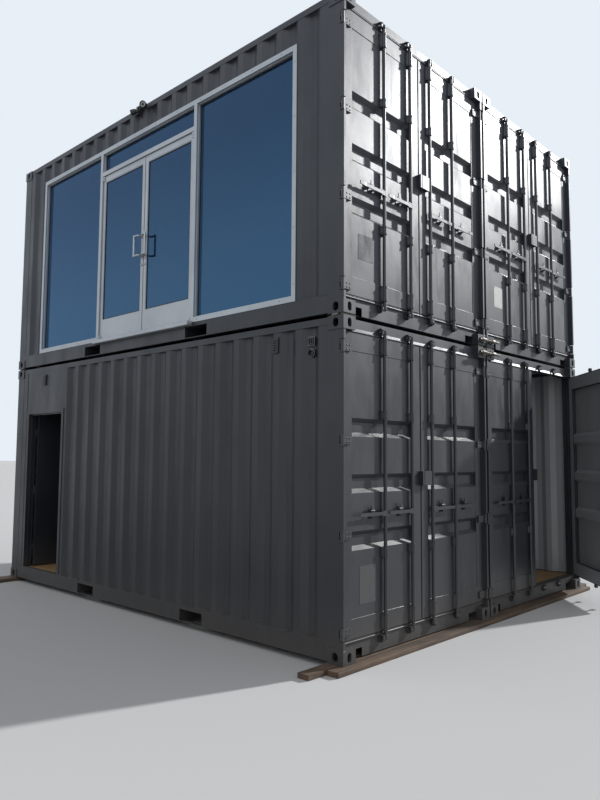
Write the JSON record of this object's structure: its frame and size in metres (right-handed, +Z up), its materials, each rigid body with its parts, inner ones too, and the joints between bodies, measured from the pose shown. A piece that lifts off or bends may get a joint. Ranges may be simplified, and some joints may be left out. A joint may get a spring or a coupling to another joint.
{
  "type": "shipping container cabin",
  "caption": "Two-storey cabin of stacked steel shipping containers with cargo doors at one end, a glazed storefront above and a personnel doorway below.",
  "frame": {"origin": "on the ground, under the centre of the overall box with the rear cargo leaf standing open; the containers' own centre lies 362 mm towards -X", "axes": "+Z up; +X out of the cargo door ends, along the containers; -Y out of the storefront and the personnel doorway"},
  "size_m": [6.9212, 5.602, 5.857],
  "materials": {
    "charcoal_paint": "semi-gloss charcoal over rolled steel",
    "clear_aluminium": "clear anodised",
    "glazing": "double glazing, faintly tinted",
    "plywood": "worn floor plywood",
    "rough_timber": "rough sawn, weathered",
    "galvanised": "galvanised, dull",
    "black_housing": "moulded"
  },
  "bodies": {
    "cabin": {"sole_boards": "rough_timber", "lower_posts": "charcoal_paint", "upper_posts": "charcoal_paint", "lower_rails": "charcoal_paint", "upper_rails": "charcoal_paint", "floors": "plywood", "floor_joists": "charcoal_paint", "roofs": "charcoal_paint", "lower_front_wall": "charcoal_paint", "door_head_panel": "charcoal_paint", "lower_rear_wall": "charcoal_paint", "upper_front_wall": "charcoal_paint", "storefront_head_wall": "charcoal_paint", "upper_rear_wall": "charcoal_paint", "lower_party_walls": "charcoal_paint", "upper_party_walls": "charcoal_paint", "lower_end_walls": "charcoal_paint", "upper_end_walls": "charcoal_paint", "storefront_frame": "clear_aluminium", "storefront_glass": "glazing", "shop_left_leaf": "clear_aluminium", "shop_right_leaf": "clear_aluminium", "shop_leaf_glass": "glazing", "shop_pulls": "clear_aluminium", "shop_push_bars": "clear_aluminium", "shop_threshold": "clear_aluminium", "security_camera": "black_housing", "doorway_frame": "charcoal_paint", "vent_covers": "charcoal_paint", "power_inlets": "black_housing", "stacking_plates": "galvanised", "bridge_clamps": "galvanised", "upper_front_leaves": "charcoal_paint", "upper_rear_leaves": "charcoal_paint", "upper_lock_rods": "charcoal_paint"},
    "front_left_leaf": {"front_left_leaf": "charcoal_paint"},
    "front_left_outer_rod": {"front_left_outer_rod": "charcoal_paint"},
    "front_left_inner_rod": {"front_left_inner_rod": "charcoal_paint"},
    "front_right_leaf": {"front_right_leaf": "charcoal_paint"},
    "front_right_outer_rod": {"front_right_outer_rod": "charcoal_paint"},
    "front_right_inner_rod": {"front_right_inner_rod": "charcoal_paint"},
    "rear_left_leaf": {"rear_left_leaf": "charcoal_paint"},
    "rear_left_outer_rod": {"rear_left_outer_rod": "charcoal_paint"},
    "rear_left_inner_rod": {"rear_left_inner_rod": "charcoal_paint"},
    "rear_right_leaf": {"rear_right_leaf": "charcoal_paint"},
    "rear_right_outer_rod": {"rear_right_outer_rod": "charcoal_paint"},
    "rear_right_inner_rod": {"rear_right_inner_rod": "charcoal_paint"},
    "personnel_leaf": {"personnel_leaf": "charcoal_paint"}
  },
  "joints": [
    {"name": "front_left_hinge", "type": "hinge", "parent": "cabin", "child": "front_left_leaf", "pos_m": [2.64343, -2.435, 1.495], "axis": [0, 0, -1], "range_deg": [0, 262]},
    {"name": "front_left_outer_rod_turn", "type": "hinge", "parent": "front_left_leaf", "child": "front_left_outer_rod", "pos_m": [2.63943, -1.832, 1.495], "axis": [0, 0, -1], "range_deg": [-100, 0]},
    {"name": "front_left_inner_rod_turn", "type": "hinge", "parent": "front_left_leaf", "child": "front_left_inner_rod", "pos_m": [2.63943, -1.405, 1.495], "axis": [0, 0, -1], "range_deg": [-100, 0]},
    {"name": "front_right_hinge", "type": "hinge", "parent": "cabin", "child": "front_right_leaf", "pos_m": [2.64343, -0.029, 1.495], "axis": [0, 0, 1], "range_deg": [0, 90]},
    {"name": "front_right_outer_rod_turn", "type": "hinge", "parent": "front_right_leaf", "child": "front_right_outer_rod", "pos_m": [2.63943, -0.632, 1.495], "axis": [0, 0, 1], "range_deg": [-100, 0]},
    {"name": "front_right_inner_rod_turn", "type": "hinge", "parent": "front_right_leaf", "child": "front_right_inner_rod", "pos_m": [2.63943, -1.059, 1.495], "axis": [0, 0, 1], "range_deg": [-100, 0]},
    {"name": "rear_left_hinge", "type": "hinge", "parent": "cabin", "child": "rear_left_leaf", "pos_m": [2.64343, 0.029, 1.495], "axis": [0, 0, -1], "range_deg": [0, 90]},
    {"name": "rear_left_outer_rod_turn", "type": "hinge", "parent": "rear_left_leaf", "child": "rear_left_outer_rod", "pos_m": [2.63943, 0.632, 1.495], "axis": [0, 0, -1], "range_deg": [-100, 0]},
    {"name": "rear_left_inner_rod_turn", "type": "hinge", "parent": "rear_left_leaf", "child": "rear_left_inner_rod", "pos_m": [2.63943, 1.059, 1.495], "axis": [0, 0, -1], "range_deg": [-100, 0]},
    {"name": "rear_right_hinge", "type": "hinge", "parent": "cabin", "child": "rear_right_leaf", "pos_m": [2.64343, 2.435, 1.495], "axis": [0, 0, 1], "range_deg": [-42, 220]},
    {"name": "rear_right_outer_rod_turn", "type": "hinge", "parent": "rear_right_leaf", "child": "rear_right_outer_rod", "pos_m": [3.04394, 1.98421, 1.495], "axis": [0, 0, 1], "range_deg": [-100, 0]},
    {"name": "rear_right_inner_rod_turn", "type": "hinge", "parent": "rear_right_leaf", "child": "rear_right_inner_rod", "pos_m": [3.32966, 1.66688, 1.495], "axis": [0, 0, 1], "range_deg": [-100, 0]},
    {"name": "personnel_door_hinge", "type": "hinge", "parent": "cabin", "child": "personnel_leaf", "pos_m": [-3.01658, -2.331, 1.2595], "axis": [0, 0, 1], "range_deg": [-90, 12]}
  ]
}
